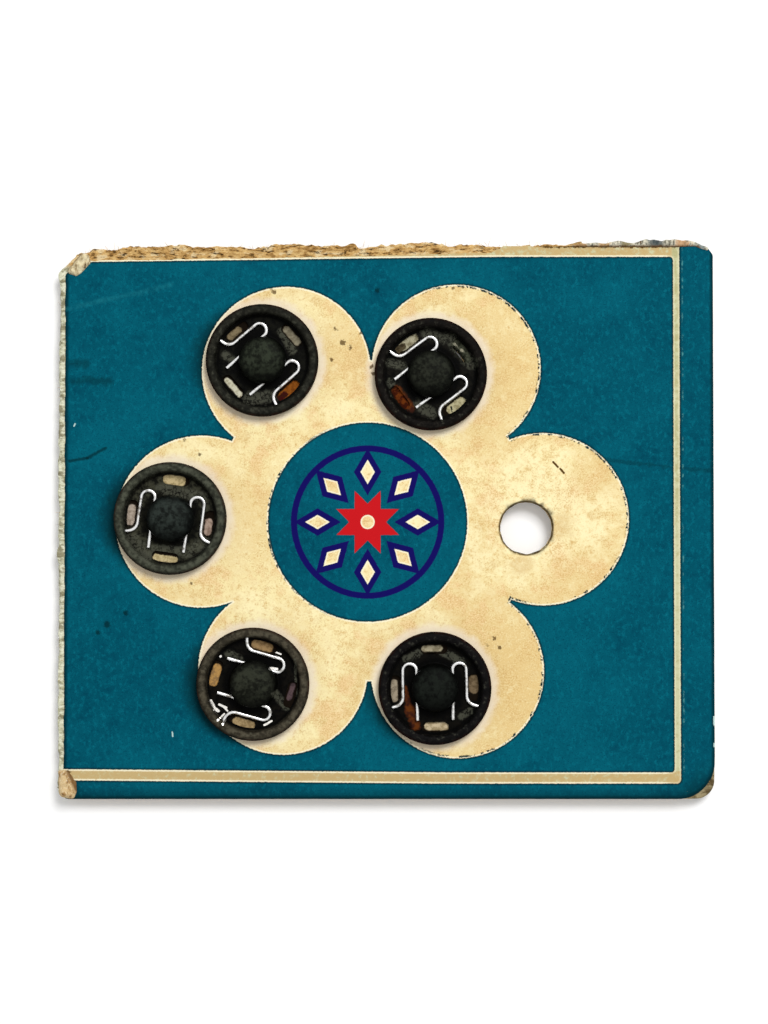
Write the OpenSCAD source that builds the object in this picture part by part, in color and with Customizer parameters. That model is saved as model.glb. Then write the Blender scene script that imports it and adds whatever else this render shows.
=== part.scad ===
// Card of sew-on snap fasteners, lying face up on the backs of its ball halves.
// Millimetres. +Z is up and out of the printed face, +Y points to the card's torn top edge.

/* [Card] */
// Width of the card, from its rough left edge to its right edge
card_w = 64.2; // [62:0.1:72]
// Height of the card, from its bottom edge to its torn top edge
card_h = 54; // [53:0.1:62]
// Thickness of the pasteboard
card_t = 0.8; // [0.5:0.05:1.4]
// Radius of the crushed corner at the bottom right
crushed_corner_r = 2.3; // [0.5:0.1:3]
// Radius of the worn corner at the top right
worn_corner_r = 1.2; // [0.4:0.1:3]
// Depth of the waves in the torn top edge
tear_depth = 0.45; // [0.1:0.05:0.8]
// Depth of the nicks in the rough left edge
nick_depth = 0.25; // [0.1:0.05:0.5]
// Length of the corner folded over at the top left, along the top edge
corner_fold_w = 1.9; // [0.5:0.1:3]
// Length of the corner folded over at the top left, along the left edge
corner_fold_h = 2.2; // [0.5:0.1:3]
// Thickness of the ply that is folded over
fold_ply_t = 0.4; // [0.2:0.05:0.6]

/* [Punched holes] */
// Diameter of each punched hole
hole_d = 5.1; // [4.4:0.1:6]
// Radius of the ring that the holes lie on
hole_ring_r = 17.6; // [16.5:0.1:18.5]
// Turn of the ring of holes against the card, in degrees
hole_ring_turn = -1.3; // [-4:0.1:4]
// Centre of the ring of holes, to the right of the card's centre
hole_ring_x = -3.85; // [-4.5:0.05:0]
// Centre of the ring of holes, above the card's centre
hole_ring_y = -0.2; // [-1:0.05:1]
// Least gap between a stud's neck and the edge of its hole
hole_clearance = 0.15; // [0.05:0.05:0.3]

/* [Print] */
// Thickness of the ink
ink_t = 0.05; // [0.03:0.01:0.1]
// Width of the frame line at the right
frame_line_right = 0.73; // [0.4:0.01:1.2]
// Width of the frame line at the bottom
frame_line_bottom = 1.07; // [0.4:0.01:1.5]
// Width of the printed margin between the frame line and the right edge
margin_right = 3.3; // [2.6:0.1:4.5]
// Width of the printed margin between the frame line and the bottom edge
margin_bottom = 1.7; // [1:0.1:3]
// Bare strip along the torn top edge
bare_top = 1.2; // [0.9:0.1:2]
// Bare strip along the rough left edge
bare_left = 0.75; // [0.6:0.05:1.5]
// Radius of the patch where the ink has peeled from the bottom left corner
peel_r = 1.6; // [0.5:0.1:2.5]
// Centre of the flower, to the right of the card's centre
flower_x = -1.4; // [-3:0.05:0]
// Centre of the flower, above the card's centre
flower_y = 0.1; // [-1:0.05:0.8]
// Radius of the ring that the petals' centres lie on
petal_ring_r = 16.8; // [15.5:0.1:17]
// Radius of each petal
petal_r = 8.38; // [7.6:0.02:8.7]
// Radius of the flower's middle, out to the notches between the petals
flower_core_r = 15.6; // [14:0.1:16]
// Centre of the round field in the flower, to the right of the card's centre
medallion_x = -1.75; // [-3:0.05:0]
// Centre of the round field in the flower, above the card's centre
medallion_y = 0; // [-1:0.05:0.8]
// Radius of the round field in the flower
medallion_r = 9.75; // [8.5:0.05:11]

/* [Ornament] */
// Number of lozenges round the ornament
lozenge_count = 8; // [6:1:10]
// Radius to the lozenges' inner tips
lozenge_in_r = 2.6; // [2.2:0.1:3.2]
// Radius to the lozenges' outer tips, in the middle of the navy ring
lozenge_out_r = 7.2; // [6:0.1:8]
// Width of a lozenge
lozenge_w = 2.7; // [1.6:0.1:3]
// Width of the navy outline of a lozenge
lozenge_line_w = 0.55; // [0.3:0.05:0.7]
// Width of the navy ring
ring_line_w = 0.6; // [0.3:0.05:0.9]
// Radius to the points of the red star
star_out_r = 3.3; // [2.4:0.1:3.6]
// Radius to the notches of the red star
star_in_r = 1.8; // [1.2:0.1:2]
// Radius of the bare dot in the middle of the star
star_dot_r = 0.7; // [0.3:0.1:1]

/* [Snap halves] */
// Diameter of each half over its rolled rim
snap_d = 11; // [10.4:0.1:12.5]
// Thickness of the stamped sheet
sheet_t = 0.22; // [0.15:0.01:0.26]
// Width of the rolled rim
rim_w = 0.95; // [0.85:0.01:1.1]
// Outside radius of the roll's bends
rim_bend_r = 0.4; // [0.3:0.01:0.42]
// Height of the socket half's rim
socket_rim_h = 1.2; // [1.1:0.05:1.5]
// Height of the ball half's rim
ball_rim_h = 1; // [0.9:0.05:1.4]
// Width of a sewing hole
sew_hole_w = 2.6; // [1.6:0.1:2.8]
// Depth of a sewing hole, across its middle
sew_hole_depth = 1; // [0.9:0.05:1.05]
// Radius of a sewing hole's inner corners
sew_corner_r = 0.45; // [0.2:0.05:0.5]

/* [Socket half] */
// Outside radius of the cup
cup_r = 2.3; // [2.1:0.05:2.5]
// Height of the cup above the face of the socket half
cup_h = 1.95; // [1.75:0.05:2.5]
// Radius of the cup's rounded shoulder
cup_shoulder_r = 0.9; // [0.5:0.05:1]
// Radius of the cup's crowned top
cup_crown_r = 6; // [4:0.5:12]
// Radius of the bend at the foot of the cup
cup_foot_r = 0.25; // [0.1:0.05:0.3]
// Gap between a spring and the edges of its window in the cup
window_clearance = 0.12; // [0.05:0.01:0.2]

/* [Springs] */
// Diameter of the spring wire
wire_d = 0.36; // [0.3:0.01:0.4]
// Distance between the inner legs of the two springs
leg_gap = 3.48; // [3.4:0.02:3.6]
// Bend radius of the curl between a spring's legs
curl_r = 0.68; // [0.5:0.02:0.72]
// Distance of the curl's centre from the middle of the snap
curl_y = 1.75; // [1.4:0.05:2]
// Distance of the inner leg's end from the middle of the snap
tail_y = 3.1; // [2.7:0.05:3.3]
// Distance of the foot's bend from the middle of the snap
foot_y = 0.75; // [0.6:0.05:0.9]
// Radius of the foot's bend
foot_bend_r = 1; // [0.9:0.05:1.1]
// Gap between the wire and the sheet round it
wire_clearance = 0.02; // [0.01:0.01:0.05]

/* [Ball half] */
// Radius of the stud's neck
neck_r = 1.4; // [1.2:0.05:1.45]
// Radius of the stud's head
head_r = 1.65; // [1.6:0.01:1.7]
// Radius of the head's rounded edge
head_edge_r = 0.45; // [0.35:0.05:0.5]
// Height of the head's widest place above the springs
head_lift = 0.3; // [0.28:0.01:0.4]
// Radius of the bends inside the hollow stud
hollow_edge_r = 0.3; // [0.1:0.05:0.4]

/* [Hidden] */
$fn = 96;
EPS = 0.01;

// How far a cutting shape runs past what it cuts
OVER_CUT = 1;

// Snaps that the card still carries: hole, share of its play to the right and up, turn in degrees
SNAPS = [
    [2, 0.25, 0.54, -49],
    [1, -0.88, -0.41, -53],
    [3, 0.45, 0.13, -8],
    [4, 0.09, -0.56, -106],
    [5, 0.2, -0.56, 1]
];
HOLE_COUNT = 6;
PETAL_COUNT = 6;
SEW_HOLE_COUNT = 4;

// Waves of a torn edge: degrees of phase per millimetre, share of the depth, first phase
TEAR_WAVES = [[37, 0.5, 0], [101, 0.3, 40], [223, 0.2, 110]];
TEAR_STEP = 0.8;

left_x = -card_w / 2;
right_x = card_w / 2;
bottom_y = -card_h / 2;
top_y = card_h / 2;

card_z = ball_rim_h;
ink_z = card_z + card_t;
socket_z = ink_z + ink_t;

field_right_x = right_x - margin_right - frame_line_right;
field_bottom_y = bottom_y + margin_bottom + frame_line_bottom;

snap_r = snap_d / 2;
hole_play = hole_d / 2 - neck_r - hole_clearance;

// A foot leans outwards by 24 for each 7 along its leg
foot_turn = atan2(24, 7);

wire_r = wire_d / 2;
wire_z = sheet_t + wire_clearance + wire_r;
inner_leg_x = leg_gap / 2;
outer_leg_x = inner_leg_x + 2 * curl_r;
lip_z = wire_z + wire_r + wire_clearance;
foot_start_x = outer_leg_x + foot_bend_r * (1 - cos(foot_turn));
foot_start_y = -foot_y - foot_bend_r * sin(foot_turn);
foot_reach_r = snap_r - rim_w + sheet_t / 2;

sew_in_r = outer_leg_x + wire_r + wire_clearance;
sew_out_r = sew_in_r + sew_hole_depth;

window_x = inner_leg_x - wire_r - window_clearance / 2;
window_w = cup_r + cup_foot_r - window_x;
window_h = 2 * (wire_clearance + wire_r) + window_clearance;

head_z = socket_z + wire_z + wire_r + head_lift;

// Corner that is folded over: its tip as it was, the ends of its fold, and its tip mirrored in the fold
fold_tip = [left_x + nick_depth, top_y - tear_depth];
fold_low = fold_tip - [0, corner_fold_h];
fold_high = fold_tip + [corner_fold_w, 0];
fold_line = fold_high - fold_low;
fold_foot = fold_low + (fold_tip - fold_low) * fold_line / (fold_line * fold_line) * fold_line;
folded_tip = 2 * fold_foot - fold_tip;

// Depth of a torn edge at a place along it, as a share from 0 to 1
function wave(s) = [for (w = TEAR_WAVES) w[1] * sin(w[0] * s + w[2])] * [for (w = TEAR_WAVES) 1];
function tear(s) = 0.5 + 0.5 * wave(s);

// Length of the foot that brings its end to a given radius
function foot_length(x, y, turn, r) =
    let (along = x * sin(turn) - y * cos(turn))
    -along + sqrt(along * along + r * r - x * x - y * y);

function hole_place(k) =
    let (a = hole_ring_turn + k * 360 / HOLE_COUNT)
    [hole_ring_x + hole_ring_r * cos(a), hole_ring_y + hole_ring_r * sin(a)];

module rounded_box(w, h, r) {
    translate([r, 0]) square([w - 2 * r, h]);
    translate([0, r]) square([w, h - 2 * r]);
    for (x = [r, w - r], y = [r, h - r]) translate([x, y]) circle(r);
}

// Square corner less its rounding, for cutting a corner round at the origin
module corner_cut(r) {
    difference() {
        translate([-r, -r]) square(r + OVER_CUT);
        translate([-r, -r]) circle(r);
    }
}

module card_outline() {
    tear_start_x = right_x - worn_corner_r;
    tear_w = tear_start_x - fold_high[0];
    nicks_h = fold_low[1] - bottom_y;
    top_steps = floor(tear_w / TEAR_STEP);
    left_steps = floor(nicks_h / TEAR_STEP);
    top_edge = [
        for (i = [1 : top_steps - 1])
            let (x = tear_start_x - i * tear_w / top_steps)
            [x, top_y - tear_depth * tear(x)]
    ];
    left_edge = [
        for (i = [1 : left_steps - 1])
            let (y = fold_low[1] - i * nicks_h / left_steps)
            [left_x + nick_depth * tear(y), y]
    ];
    difference() {
        polygon(concat(
            [[left_x, bottom_y], [right_x, bottom_y], [right_x, top_y], [tear_start_x, top_y]],
            top_edge,
            [fold_high, fold_low],
            left_edge
        ));
        translate([right_x, top_y]) corner_cut(worn_corner_r);
        translate([right_x, bottom_y]) mirror([0, 1]) corner_cut(crushed_corner_r);
    }
}

module card() {
    color([0.93, 0.85, 0.64])
    translate([0, 0, card_z]) {
        linear_extrude(card_t)
        difference() {
            card_outline();
            for (k = [0 : HOLE_COUNT - 1]) translate(hole_place(k)) circle(d = hole_d);
        }
        linear_extrude(card_t + fold_ply_t) polygon([fold_low, folded_tip, fold_high]);
    }
}

module flower() {
    translate([flower_x, flower_y]) {
        circle(flower_core_r);
        for (k = [0 : PETAL_COUNT - 1])
            rotate(k * 360 / PETAL_COUNT) translate([petal_ring_r, 0]) circle(petal_r);
    }
}

module ink(c) {
    color(c) translate([0, 0, ink_z]) linear_extrude(ink_t) children();
}

module print_field() {
    ink([0.01, 0.34, 0.41])
    difference() {
        translate([left_x + bare_left, field_bottom_y])
            square([field_right_x - left_x - bare_left, top_y - bare_top - field_bottom_y]);
        flower();
        polygon([fold_low, folded_tip, fold_high, fold_tip]);
    }
}

module print_margin() {
    ink([0.01, 0.34, 0.41])
    difference() {
        card_outline();
        translate([left_x - OVER_CUT, bottom_y + margin_bottom])
            square([card_w + OVER_CUT - margin_right, card_h]);
        translate([left_x, bottom_y]) circle(peel_r);
    }
}

module lozenge(inset) {
    a = (lozenge_out_r - lozenge_in_r) / 2;
    b = lozenge_w / 2;
    keep = 1 - inset * sqrt(a * a + b * b) / (a * b);
    translate([lozenge_in_r + a, 0])
        polygon([[a * keep, 0], [0, b * keep], [-a * keep, 0], [0, -b * keep]]);
}

module lozenges(inset) {
    for (k = [0 : lozenge_count - 1]) rotate(k * 360 / lozenge_count) lozenge(inset);
}

module navy_ring() {
    difference() {
        circle(lozenge_out_r + ring_line_w / 2);
        circle(lozenge_out_r - ring_line_w / 2);
    }
}

module star() {
    half = 180 / lozenge_count;
    polygon([
        for (k = [0 : 2 * lozenge_count - 1])
            let (r = k % 2 == 0 ? star_in_r : star_out_r)
            [r * cos(k * half), r * sin(k * half)]
    ]);
}

module print_medallion() {
    ink([0.01, 0.34, 0.41])
    translate([medallion_x, medallion_y])
    difference() {
        circle(medallion_r);
        navy_ring();
        lozenges(0);
        star();
    }
}

module print_ornament_navy() {
    ink([0.07, 0.06, 0.34])
    translate([medallion_x, medallion_y])
    difference() {
        union() {
            navy_ring();
            lozenges(0);
        }
        lozenges(lozenge_line_w);
    }
}

module print_ornament_red() {
    ink([0.78, 0.1, 0.11])
    translate([medallion_x, medallion_y])
    difference() {
        star();
        circle(star_dot_r);
    }
}

// Section of a stamped disc with a rolled rim, its face on the axis of radius, the roll going up
module disc_section(rim_h) {
    square([snap_r - rim_bend_r, sheet_t]);
    difference() {
        translate([snap_r - rim_w, 0]) rounded_box(rim_w, rim_h, rim_bend_r);
        translate([snap_r - rim_w + sheet_t, sheet_t])
            rounded_box(rim_w - 2 * sheet_t, rim_h - 2 * sheet_t, rim_bend_r - sheet_t);
        translate([snap_r - rim_w - EPS, sheet_t]) square([rim_w - rim_bend_r + EPS, lip_z - sheet_t]);
    }
}

module sewing_holes() {
    for (k = [0 : SEW_HOLE_COUNT - 1])
        rotate(k * 360 / SEW_HOLE_COUNT)
        intersection() {
            circle(sew_out_r);
            translate([sew_in_r, -sew_hole_w / 2])
                rounded_box(2 * sew_hole_depth, sew_hole_w, sew_corner_r);
        }
}

// Half of the cup's section, grown inwards by the given inset, with its foot on the axis of radius
module cup_section(inset) {
    shoulder_x = cup_r - cup_shoulder_r;
    crown_z = cup_h - cup_crown_r;
    crown_rise = sqrt(pow(cup_crown_r - cup_shoulder_r, 2) - pow(shoulder_x, 2));
    shoulder_z = crown_z + crown_rise;
    reach = 2 * cup_crown_r / (cup_crown_r - cup_shoulder_r);
    intersection() {
        square([cup_r, cup_h]);
        union() {
            square([cup_r - inset, shoulder_z]);
            translate([shoulder_x, shoulder_z]) circle(cup_shoulder_r - inset);
            translate([0, crown_z])
            intersection() {
                circle(cup_crown_r - inset);
                polygon([[0, 0], [shoulder_x * reach, crown_rise * reach], [0, cup_crown_r * reach]]);
            }
        }
    }
}

module socket() {
    color([0.16, 0.16, 0.17])
    difference() {
        rotate_extrude()
        difference() {
            union() {
                disc_section(socket_rim_h);
                cup_section(0);
                difference() {
                    translate([cup_r, sheet_t]) square(cup_foot_r);
                    translate([cup_r + cup_foot_r, sheet_t + cup_foot_r]) circle(cup_foot_r);
                }
            }
            translate([0, -EPS]) cup_section(sheet_t);
        }
        translate([0, 0, -sheet_t]) linear_extrude(3 * sheet_t) sewing_holes();
        for (side = [-1, 1])
            translate([side * (window_x + window_w / 2), 0, sheet_t + window_h / 2])
            cube([window_w, 2 * (cup_r + cup_foot_r), window_h], center = true);
    }
}

module wire_leg(x, y_from, y_to) {
    translate([x, y_from, 0]) rotate([-90, 0, 0]) cylinder(r = wire_r, h = y_to - y_from);
}

module wire_bend(r, turn) {
    rotate_extrude(angle = turn) translate([r, 0]) circle(wire_r);
}

// One spring, made as the right one of the pair
module spring_right() {
    foot_len = foot_length(foot_start_x, foot_start_y, foot_turn, foot_reach_r);
    color([0.82, 0.82, 0.83])
    translate([0, 0, wire_z]) {
        wire_leg(inner_leg_x, -tail_y, curl_y);
        translate([inner_leg_x + curl_r, curl_y, 0]) wire_bend(curl_r, 180);
        wire_leg(outer_leg_x, -foot_y, curl_y);
        translate([outer_leg_x + foot_bend_r, -foot_y, 0]) rotate(180) wire_bend(foot_bend_r, foot_turn);
        translate([foot_start_x, foot_start_y, 0])
            rotate(foot_turn) rotate([90, 0, 0]) cylinder(r = wire_r, h = foot_len);
    }
}

module spring_left() {
    mirror([1, 0, 0]) spring_right();
}

module ball() {
    back_z = ball_rim_h - sheet_t;
    hollow_r = neck_r - sheet_t;
    hollow_z = head_z + head_edge_r - sheet_t;
    color([0.16, 0.16, 0.17])
    difference() {
        union() {
            rotate_extrude() translate([0, ball_rim_h]) mirror([0, 1]) disc_section(ball_rim_h);
            rotate_extrude() {
                translate([0, back_z]) square([neck_r, head_z - back_z]);
                translate([0, back_z]) square([head_r - head_edge_r, head_z + head_edge_r - back_z]);
                translate([head_r - head_edge_r, head_z]) circle(head_edge_r);
            }
        }
        rotate_extrude() {
            square([hollow_r, hollow_z - hollow_edge_r]);
            square([hollow_r - hollow_edge_r, hollow_z]);
            translate([hollow_r - hollow_edge_r, hollow_z - hollow_edge_r]) circle(hollow_edge_r);
        }
        translate([0, 0, back_z - sheet_t]) linear_extrude(3 * sheet_t) sewing_holes();
    }
}

// Puts a snap's piece at its place on the card, at a given height
module at_snap(i, z) {
    s = SNAPS[i];
    p = hole_place(s[0]);
    translate([p[0] + hole_play * s[1], p[1] + hole_play * s[2], z]) rotate(s[3]) children();
}

card();
print_field();
print_margin();
print_medallion();
print_ornament_navy();
print_ornament_red();
for (i = [0 : len(SNAPS) - 1]) {
    at_snap(i, socket_z) socket();
    at_snap(i, socket_z) spring_left();
    at_snap(i, socket_z) spring_right();
    at_snap(i, 0) ball();
}
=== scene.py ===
"""Looks of a card of sew-on snap fasteners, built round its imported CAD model."""

import math

import bpy
import numpy as np
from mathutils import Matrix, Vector, geometry, noise


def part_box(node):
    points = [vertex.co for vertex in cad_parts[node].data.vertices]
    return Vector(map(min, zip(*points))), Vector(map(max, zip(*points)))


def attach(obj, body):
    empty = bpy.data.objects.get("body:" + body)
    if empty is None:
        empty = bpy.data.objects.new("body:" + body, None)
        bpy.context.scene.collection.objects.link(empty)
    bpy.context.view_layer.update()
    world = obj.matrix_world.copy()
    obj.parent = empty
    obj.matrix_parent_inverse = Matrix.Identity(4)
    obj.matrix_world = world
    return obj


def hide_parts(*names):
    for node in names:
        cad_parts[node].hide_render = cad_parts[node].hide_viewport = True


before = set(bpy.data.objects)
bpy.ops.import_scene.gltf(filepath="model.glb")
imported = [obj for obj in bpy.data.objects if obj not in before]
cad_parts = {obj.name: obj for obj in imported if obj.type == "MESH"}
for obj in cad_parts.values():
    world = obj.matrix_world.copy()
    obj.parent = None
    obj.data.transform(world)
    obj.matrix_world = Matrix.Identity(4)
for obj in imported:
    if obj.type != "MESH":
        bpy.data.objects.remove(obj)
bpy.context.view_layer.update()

# Sizes are in millimetres, on the card's own axes, and meshes are scaled to metres as they are made
MM = 0.001
SEED = 41

LEFT, BOTTOM, CARD_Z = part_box("card")[0] / MM
RIGHT, TOP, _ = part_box("card")[1] / MM
INK_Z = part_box("print_field")[0].z / MM
FACE_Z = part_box("print_field")[1].z / MM
SNAP_COUNT = 5
SNAP_R = 5.5


def snap_centre(i):
    """Middle of a snap's socket half, seen from above."""
    low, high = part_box(f"socket_{i + 1}")
    return (low + high) / 2 / MM


SNAPS = [snap_centre(i) for i in range(SNAP_COUNT)]

# Punched holes
HOLE_R = 2.55
HOLE_RING_R = 17.6
HOLE_RING_MIDDLE = (-3.85, -0.2)
HOLE_RING_TURN = math.radians(-1.3)
HOLES = [
    (
        HOLE_RING_MIDDLE[0] + HOLE_RING_R * math.cos(HOLE_RING_TURN + k * math.pi / 3),
        HOLE_RING_MIDDLE[1] + HOLE_RING_R * math.sin(HOLE_RING_TURN + k * math.pi / 3),
    )
    for k in range(6)
]
EMPTY_HOLE = HOLES[0]

# Print
FIELD_RIGHT = 28.2
FIELD_BOTTOM = -24.22
FIELD_TOP = 26.03
FIELD_CORNER_R = 0.35
LINE_RIGHT = 28.8
LINE_BOTTOM = -25.29
LINE_CORNER_R = 0.4

# The field's top edge rises to the right, and the bottom of the frame line falls, each at most so far
TOP_SLOPE = 0.0125
TOP_LEVEL = 25.9
SAG_SLOPE = -0.0085
SAG_LEVEL = -0.15
SAG_LEAST = -0.2

# Left end of the dark line along the torn top edge, and half the width of a printed edge
TORN_LINE_LEFT = 14.6
INK_SOFT = 0.04

FLOWER = (-1.4, 0.15)
CORE_R = 15.7

# Petals of the flower: middle and radius
PETALS = (
    ((15.36, 0.28), 8.42),
    ((6.92, 15.0), 8.27),
    ((-9.72, 14.8), 8.26),
    ((-18.0, 0.05), 8.4),
    ((-10.0, -14.42), 8.27),
    ((7.02, -14.6), 8.44),
)
MEDALLION = (-1.75, 0.0)
MEDALLION_R = 9.75
LOZENGE_COUNT = 8
LOZENGE_IN_R = 2.6
LOZENGE_OUT_R = 7.2
LOZENGE_W = 2.7
LOZENGE_LINE = 0.55
RING_LINE = 0.6
STAR_OUT_R = 3.3
STAR_IN_R = 1.8
STAR_DOT_R = 0.7

# Printed face
FACE_INSET = -0.015
FACE_LEFT = LEFT + 0.72
FACE_CORNER_R = 3.6
PLY = 0.12


def srgb(r, g, b):
    """A colour of 0 to 255 steps as the linear colour that a shader takes."""
    parts = [c / 255 for c in (r, g, b)]
    linear = [c / 12.92 if c <= 0.04045 else ((c + 0.055) / 1.055) ** 2.4 for c in parts]
    return (*linear, 1.0)


def lit(colour, factor):
    """A linear colour made darker or lighter."""
    return (*(min(c * factor, 1.0) for c in colour[:3]), 1.0)


# Shapes


def unit(v):
    return v / np.linalg.norm(v)


def smooth(value, low, high):
    """0 below low, 1 above high and smooth between them."""
    t = np.clip((value - low) / (high - low), 0, 1)
    return t * t * (3 - 2 * t)


def rough(seed, s, step):
    """Smooth random numbers from -1 to 1 along s, a new one about every step."""
    draws = np.random.default_rng(SEED * 1000 + seed).uniform(-1, 1, int(s.max() / step) + 3)
    i = (s / step).astype(int)
    t = smooth(s / step - i, 0, 1)
    return draws[i] * (1 - t) + draws[i + 1] * t


def fractal(x, y, scale, octaves=4):
    """Seeded noise of about -1 to 1 at a place on the card."""
    return noise.fractal(Vector((x * scale, y * scale, SEED)), 1.0, 2.0, octaves)


def corner_at(corners, i):
    """A corner of a polygon, the ways from it to the last and the next one, and half its angle."""
    corner, last, after = (np.array(corners[k % len(corners)][:2]) for k in (i, i - 1, i + 1))
    to_last, to_next = unit(last - corner), unit(after - corner)
    return corner, to_last, to_next, math.acos(np.clip(to_last @ to_next, -1, 1)) / 2


def inset_corners(corners, inset, least_r):
    """Corners (x, y, radius) of the polygon whose sides lie inside those of another by the inset."""
    made = []
    for i, (_, _, r) in enumerate(corners):
        corner, to_last, to_next, half = corner_at(corners, i)
        moved = corner + unit(to_last + to_next) * inset / math.sin(half)
        made.append((*moved, max(r - inset, least_r)))
    return made


def rounded_outline(corners, step, count=None):
    """Evenly spaced points round a polygon of corners (x, y, radius), anticlockwise."""
    path = []
    for i, (_, _, r) in enumerate(corners):
        corner, to_last, to_next, half = corner_at(corners, i)
        middle = corner + unit(to_last + to_next) * r / math.sin(half)
        start = corner + to_last * r / math.tan(half) - middle
        end = corner + to_next * r / math.tan(half) - middle
        path += [middle + unit(start * (1 - t) + end * t) * r for t in np.linspace(0, 1, 24)]
    path = np.array(path + path[:1])
    along = np.concatenate(([0], np.cumsum(np.linalg.norm(np.diff(path, axis=0), axis=1))))
    s = np.linspace(0, along[-1], count or int(along[-1] / step), endpoint=False)
    return np.column_stack([np.interp(s, along, path[:, k]) for k in (0, 1)])


def outward(points):
    """Outward directions at the points of an anticlockwise loop."""
    along = np.roll(points, -1, 0) - np.roll(points, 1, 0)
    normal = np.column_stack((along[:, 1], -along[:, 0]))
    return normal / np.linalg.norm(normal, axis=1)[:, None]


def circle(middle, r, count=72):
    a = np.linspace(0, 2 * math.pi, count, endpoint=False)
    return np.column_stack((middle[0] + r * np.cos(a), middle[1] + r * np.sin(a)))


def distance_to(points, loop):
    """Distance of each point from the nearest point of a loop."""
    return np.array([np.sqrt(((loop - p) ** 2).sum(1).min()) for p in points])


def inside(points, loop):
    """Which points lie inside a loop."""
    x, y = points[:, 0][:, None], points[:, 1][:, None]
    x0, y0 = loop.T
    x1, y1 = np.roll(loop, -1, 0).T
    spans = (y0 > y) != (y1 > y)
    with np.errstate(divide="ignore", invalid="ignore"):
        crossing = x < (x1 - x0) * (y - y0) / (y1 - y0) + x0
    return (spans & crossing).sum(1) % 2 == 1


def grid_inside(loop, holes, step, clear, seed):
    """Jittered grid of points inside a loop, clear of it and of round holes."""
    draw = np.random.default_rng(SEED * 1000 + seed)
    low, high = loop.min(0), loop.max(0)
    x, y = np.meshgrid(np.arange(low[0], high[0], step), np.arange(low[1], high[1], step))
    points = np.column_stack((x.ravel(), y.ravel()))
    points += draw.uniform(-0.3, 0.3, points.shape) * step
    points = points[inside(points, loop)]
    for middle in holes:
        points = points[np.linalg.norm(points - middle, axis=1) > HOLE_R + clear]
    return points[distance_to(points, loop) > clear]


def placed(name, data):
    """A new object in the scene."""
    made = bpy.data.objects.new(name, data)
    bpy.context.collection.objects.link(made)
    return made


class Solid:
    """Collects the points and faces of one mesh."""

    def __init__(self):
        self.points = []
        self.faces = []

    def add(self, xyz):
        """Adds points and returns their numbers."""
        start = len(self.points)
        self.points += [tuple(p) for p in xyz]
        return list(range(start, len(self.points)))

    def wall(self, low, high):
        """Faces between two loops of as many points, out to the loop's right-hand side."""
        for i in range(len(low)):
            j = (i + 1) % len(low)
            self.faces.append((low[i], low[j], high[j], high[i]))

    def cap(self, loops, loose, holes, up):
        """Fills the first loop up to the other loops, through some loose points."""
        numbers = [n for loop in loops for n in loop] + loose
        place = {n: i for i, n in enumerate(numbers)}
        flat = [Vector(self.points[n][:2]) for n in numbers]
        edges = [(place[a], place[b]) for loop in loops for a, b in zip(loop, loop[1:] + loop[:1])]
        made, _, triangles, origin, _, _ = geometry.delaunay_2d_cdt(flat, edges, [], 1, 1e-7)
        for triangle in triangles:
            middle = sum((made[i] for i in triangle), Vector((0, 0))) / 3
            if any((middle - Vector(h)).length < HOLE_R * 0.98 for h in holes):
                continue
            face = [numbers[origin[i][0]] for i in triangle]
            a, b, c = (made[i] for i in triangle)
            turns_left = (b - a).cross(c - a) > 0
            self.faces.append(face if turns_left == up else face[::-1])

    def piece(self, name, material, sharp=35):
        """Makes the object, smooth apart from its sharp edges, riding on the card."""
        mesh = bpy.data.meshes.new(name)
        mesh.from_pydata([[c * MM for c in p] for p in self.points], [], self.faces)
        mesh.validate()
        mesh.shade_smooth()
        mesh.set_sharp_from_angle(angle=math.radians(sharp))
        mesh.materials.append(material)
        made = placed(name, mesh)
        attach(made, "root")
        return made


# Materials


class Number:
    """A number that a material's nodes work out, with Python's own signs for sums."""

    def __init__(self, net, socket):
        self.net = net
        self.socket = socket

    def op(self, operation, *others):
        return self.net.op(operation, self, *others)

    def __add__(self, other):
        return self.op("ADD", other)

    def __sub__(self, other):
        return self.op("SUBTRACT", other)

    def __rsub__(self, other):
        return self.net.op("SUBTRACT", other, self)

    def __mul__(self, other):
        return self.op("MULTIPLY", other)

    def __truediv__(self, other):
        return self.op("DIVIDE", other)

    def __neg__(self):
        return self * -1

    def __abs__(self):
        return self.op("ABSOLUTE")

    __radd__ = __add__
    __rmul__ = __mul__

    def least(self, other):
        return self.op("MINIMUM", other)

    def most(self, other):
        return self.op("MAXIMUM", other)

    def rise(self, low, high):
        """0 below low, 1 above high and smooth between them."""
        return self.net.ranged(self, low, high, 0.0, 1.0)

    def fall(self, low, high):
        """1 below low, 0 above high and smooth between them."""
        return self.net.ranged(self, low, high, 1.0, 0.0)


def largest(numbers):
    """The largest of some numbers that nodes work out."""
    most = numbers[0]
    for number in numbers[1:]:
        most = most.most(number)
    return most


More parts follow.
